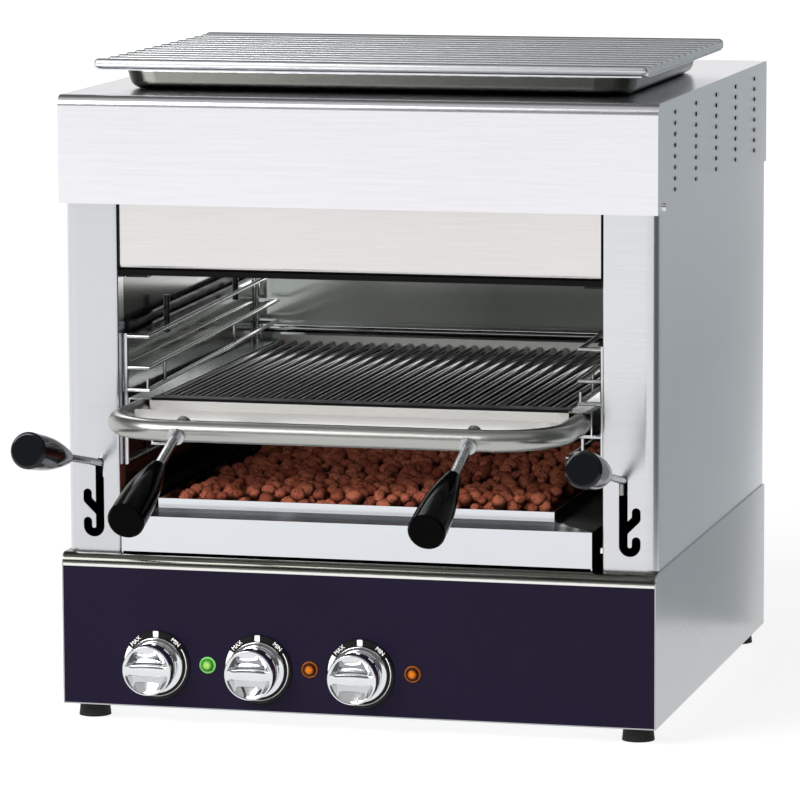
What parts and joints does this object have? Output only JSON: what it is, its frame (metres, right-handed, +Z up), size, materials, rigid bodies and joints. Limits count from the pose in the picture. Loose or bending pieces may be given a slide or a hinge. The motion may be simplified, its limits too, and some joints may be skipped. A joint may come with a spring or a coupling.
{
  "type": "electric grill",
  "caption": "Counter-top electric grill with a stainless body, lift levers, a pull-out rod grill over a drawer of lava stones, knobs on a dark panel, and a pan with a wire grid on top.",
  "frame": {"origin": "on the floor under the feet, midway in width and in overall depth from the pull grips to the cable gland", "axes": "+X to the right seen from the front, +Y to the rear, +Z up"},
  "size_m": [0.574, 0.8528, 0.6206],
  "materials": {
    "stainless": "brushed",
    "polished_stainless": "polished",
    "dark_panel": "satin",
    "black_rubber": "matte",
    "plated_steel": "bright plated",
    "chrome": "mirror",
    "dark_steel": "heat darkened",
    "heater_sheath": "oxidised",
    "black_enamel": "gloss enamel",
    "regulator_plastic": "moulded",
    "terminal_plastic": "moulded",
    "dial_plastic": "moulded",
    "green_lens": "clear moulded",
    "amber_lens": "clear moulded",
    "gland_plastic": "moulded",
    "grip_plastic": "turned and polished",
    "roller_brass": "turned",
    "lava": "rough fired"
  },
  "bodies": {
    "body": {"base_shell": "stainless", "control_panel": "dark_panel", "deck_plate": "polished_stainless", "feet": "black_rubber", "foot_studs": "plated_steel", "side_panel_left": "stainless", "side_panel_right": "stainless", "back_panel": "stainless", "hood": "stainless", "hood_screws": "plated_steel", "inner_fascia": "polished_stainless", "liner_left": "polished_stainless", "liner_right": "polished_stainless", "liner_rear": "polished_stainless", "ceiling_reflector": "polished_stainless", "heater_rails": "dark_steel", "upper_heaters": "heater_sheath", "heater_hooks": "dark_steel", "lower_heaters": "heater_sheath", "heater_rests": "dark_steel", "regulators": "regulator_plastic", "dial_rings": "dial_plastic", "lamp_housings": "regulator_plastic", "green_lens": "green_lens", "amber_lenses": "amber_lens", "cable_gland": "gland_plastic", "terminal_block": "terminal_plastic", "lever_pivots": "plated_steel"},
    "lever_left": {"lever_rod_left": "plated_steel", "lever_grip_left": "grip_plastic", "lift_roller_left": "roller_brass"},
    "lever_right": {"lever_rod_right": "plated_steel", "lever_grip_right": "grip_plastic", "lift_roller_right": "roller_brass"},
    "rack": {"rack_left": "chrome", "rack_right": "chrome", "rack_cross_rod": "chrome", "lift_plate_left": "plated_steel", "lift_plate_right": "plated_steel"},
    "grill": {"grill_rail_left": "stainless", "grill_rail_right": "stainless", "grill_rods": "black_enamel", "grill_front_bar": "dark_steel", "grill_rear_bar": "polished_stainless", "drip_channel": "polished_stainless", "grill_tube": "stainless", "pull_rods": "plated_steel", "pull_grips": "grip_plastic", "pull_nuts": "plated_steel"},
    "lava_drawer": {"lava_tray": "polished_stainless", "lava_bed": "lava", "lava_stones": "lava"},
    "top_pan": {"top_pan": "polished_stainless"},
    "top_grid": {"top_grid": "chrome"},
    "knob_left": {"knob_left": "chrome", "shaft_left": "plated_steel"},
    "knob_middle": {"knob_middle": "chrome", "shaft_middle": "plated_steel"},
    "knob_right": {"knob_right": "chrome", "shaft_right": "plated_steel"}
  },
  "joints": [
    {"name": "rack_lift", "type": "slide", "parent": "body", "child": "rack", "axis": [0, 0, 1], "range_m": [0, 0.03953]},
    {"name": "lever_left_rock", "type": "hinge", "parent": "body", "child": "lever_left", "pos_m": [-0.24624, 0.06587, 0.20244], "axis": [1, 0, 0], "range_deg": [0, 17.15]},
    {"name": "lever_right_rock", "type": "hinge", "parent": "body", "child": "lever_right", "pos_m": [0.24624, 0.06587, 0.20244], "axis": [1, 0, 0], "range_deg": [0, 17.15]},
    {"name": "grill_slide", "type": "slide", "parent": "rack", "child": "grill", "axis": [0, -1, 0], "range_m": [0, 0.3]},
    {"name": "drawer_slide", "type": "slide", "parent": "body", "child": "lava_drawer", "axis": [0, -1, 0], "range_m": [0, 0.25]},
    {"name": "knob_left_turn", "type": "hinge", "parent": "body", "child": "knob_left", "pos_m": [-0.1925, -0.15211, 0.056], "axis": [0, 1, 0], "range_deg": [0, 310]},
    {"name": "knob_middle_turn", "type": "hinge", "parent": "body", "child": "knob_middle", "pos_m": [-0.0935, -0.15211, 0.056], "axis": [0, 1, 0], "range_deg": [0, 310]},
    {"name": "knob_right_turn", "type": "hinge", "parent": "body", "child": "knob_right", "pos_m": [0.0055, -0.15211, 0.056], "axis": [0, 1, 0], "range_deg": [0, 310]},
    {"name": "pan_lift_off", "type": "slide", "parent": "body", "child": "top_pan", "axis": [0, 0, 1], "range_m": [0, 0.25]},
    {"name": "grid_lift_off", "type": "slide", "parent": "top_pan", "child": "top_grid", "axis": [0, 0, 1], "range_m": [0, 0.15]}
  ],
  "couplings": [
    {"joint": "lever_left_rock", "follows": "rack_lift", "rad_per_m": 7.572},
    {"joint": "lever_right_rock", "follows": "rack_lift", "rad_per_m": 7.572}
  ]
}
